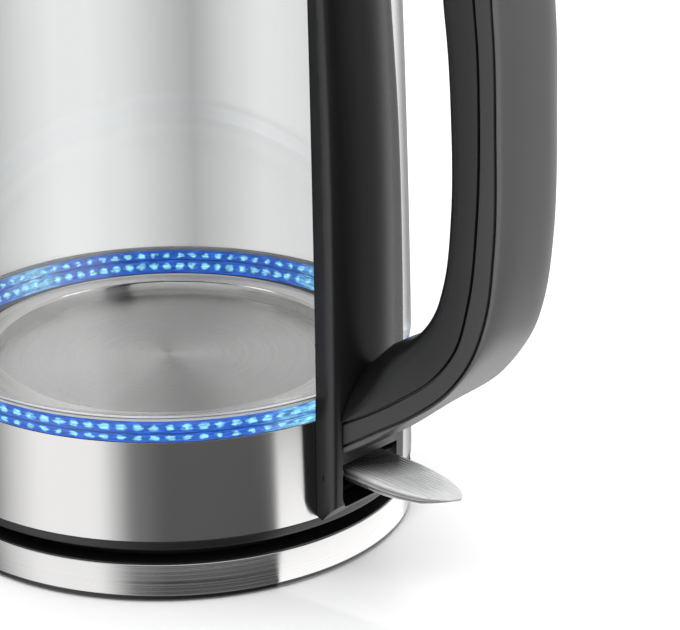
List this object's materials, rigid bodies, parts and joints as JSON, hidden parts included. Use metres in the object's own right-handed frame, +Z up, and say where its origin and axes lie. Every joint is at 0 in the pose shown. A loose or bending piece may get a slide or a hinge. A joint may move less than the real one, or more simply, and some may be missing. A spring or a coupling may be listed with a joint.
{
  "type": "electric kettle",
  "caption": "Cordless glass electric kettle with a lit blue ring, brushed steel skirt, layered D handle, clear switch lever, hinged lid and round power base.",
  "frame": {"origin": "centre of the foot ring, in the plane it stands on", "axes": "+Z up, +X towards the handle, -X towards the spout, +Y towards the cord gland"},
  "size_m": [0.2375, 0.1621, 0.2415],
  "materials": {
    "satin_black": "satin moulded plastic",
    "soft_black": "soft-touch coating",
    "inner_black": "satin moulded plastic",
    "steel": "brushed round the axis",
    "plate_steel": "circular brushing",
    "clear_glass": "clear",
    "blue_light": "lit translucent ring",
    "smoke_clear": "clear acrylic with fine ribs",
    "foot_rubber": "matte",
    "silicone": "translucent",
    "dark_silicone": "matte",
    "brass": "plain",
    "alu": "pressed",
    "board": "circuit board",
    "bright": "plated",
    "mesh": "woven mesh"
  },
  "bodies": {
    "power_base": {"base_foot_ring": "foot_rubber", "base_plate": "satin_black", "base_band": "steel", "base_shell": "satin_black", "base_turret": "satin_black", "base_contact_sleeve": "brass", "base_contact_ring": "brass", "base_terminal_block": "satin_black", "base_lead_live": "dark_silicone", "base_lead_neutral": "dark_silicone", "cord_gland": "dark_silicone", "base_screw_a": "bright", "base_screw_b": "bright", "base_screw_c": "bright"},
    "jug": {"bottom_cover": "satin_black", "steel_skirt": "steel", "light_ring": "blue_light", "glass_seal": "silicone", "led_board": "board", "heating_plate": "plate_steel", "plate_seal": "dark_silicone", "clamp_ring": "steel", "heat_spreader": "alu", "heating_element": "steel", "control_body": "satin_black", "boil_dry_disc_front": "brass", "boil_dry_disc_rear": "brass", "jug_pin": "brass", "jug_blade_ring": "brass", "glass_body": "clear_glass", "top_collar": "steel", "collar_gasket": "silicone", "handle_spine": "satin_black", "handle_inner": "inner_black", "handle_band": "soft_black", "handle_grip": "soft_black", "handle_seam_front": "dark_silicone", "handle_seam_back": "dark_silicone", "handle_screw_low": "bright", "steam_tube": "silicone", "hinge_cap": "satin_black", "hinge_pin": "bright", "lever_pin": "bright", "switch_housing": "satin_black", "rocker_pin": "bright", "steam_disc": "brass", "filter_holder": "satin_black"},
    "lid": {"lid_cover": "steel", "lid_frame": "satin_black", "lid_seal": "silicone", "button_spring": "bright"},
    "button": {"lid_button": "satin_black"},
    "bolt_left": {"lid_bolt_left": "satin_black"},
    "bolt_right": {"lid_bolt_right": "satin_black"},
    "lever": {"switch_lever": "smoke_clear"},
    "rocker": {"switch_rocker": "satin_black"},
    "filter": {"filter_frame": "satin_black", "filter_mesh": "mesh"}
  },
  "joints": [
    {"name": "jug_lift", "type": "slide", "parent": "power_base", "child": "jug", "axis": [0, 0, 1], "range_m": [0, 0.06]},
    {"name": "lid_hinge", "type": "hinge", "parent": "jug", "child": "lid", "pos_m": [0.07, 0, 0.2315], "axis": [0, 1, 0], "range_deg": [0, 75]},
    {"name": "button_press", "type": "slide", "parent": "lid", "child": "button", "axis": [0, 0, -1], "range_m": [0, 0.003], "stiffness_N_per_m": 300, "springref_m": -0.002, "deforming": ["button_spring"]},
    {"name": "bolt_left_slide", "type": "slide", "parent": "lid", "child": "bolt_left", "axis": [0, -1, 0], "range_m": [0, 0.003]},
    {"name": "bolt_right_slide", "type": "slide", "parent": "lid", "child": "bolt_right", "axis": [0, 1, 0], "range_m": [0, 0.003]},
    {"name": "lever_hinge", "type": "hinge", "parent": "jug", "child": "lever", "pos_m": [0.0828, 0, 0.0352], "axis": [0, -1, 0], "range_deg": [0, 12]},
    {"name": "rocker_hinge", "type": "hinge", "parent": "jug", "child": "rocker", "pos_m": [0.066, 0, 0.031], "axis": [0, 1, 0], "range_deg": [0, 11]},
    {"name": "filter_slide", "type": "slide", "parent": "jug", "child": "filter", "axis": [1, 0, 0], "range_m": [0, 0.012]}
  ],
  "couplings": [
    {"joint": "bolt_left_slide", "follows": "button_press", "ratio": 1},
    {"joint": "bolt_right_slide", "follows": "button_press", "ratio": 1},
    {"joint": "rocker_hinge", "follows": "lever_hinge", "ratio": 0.9}
  ]
}
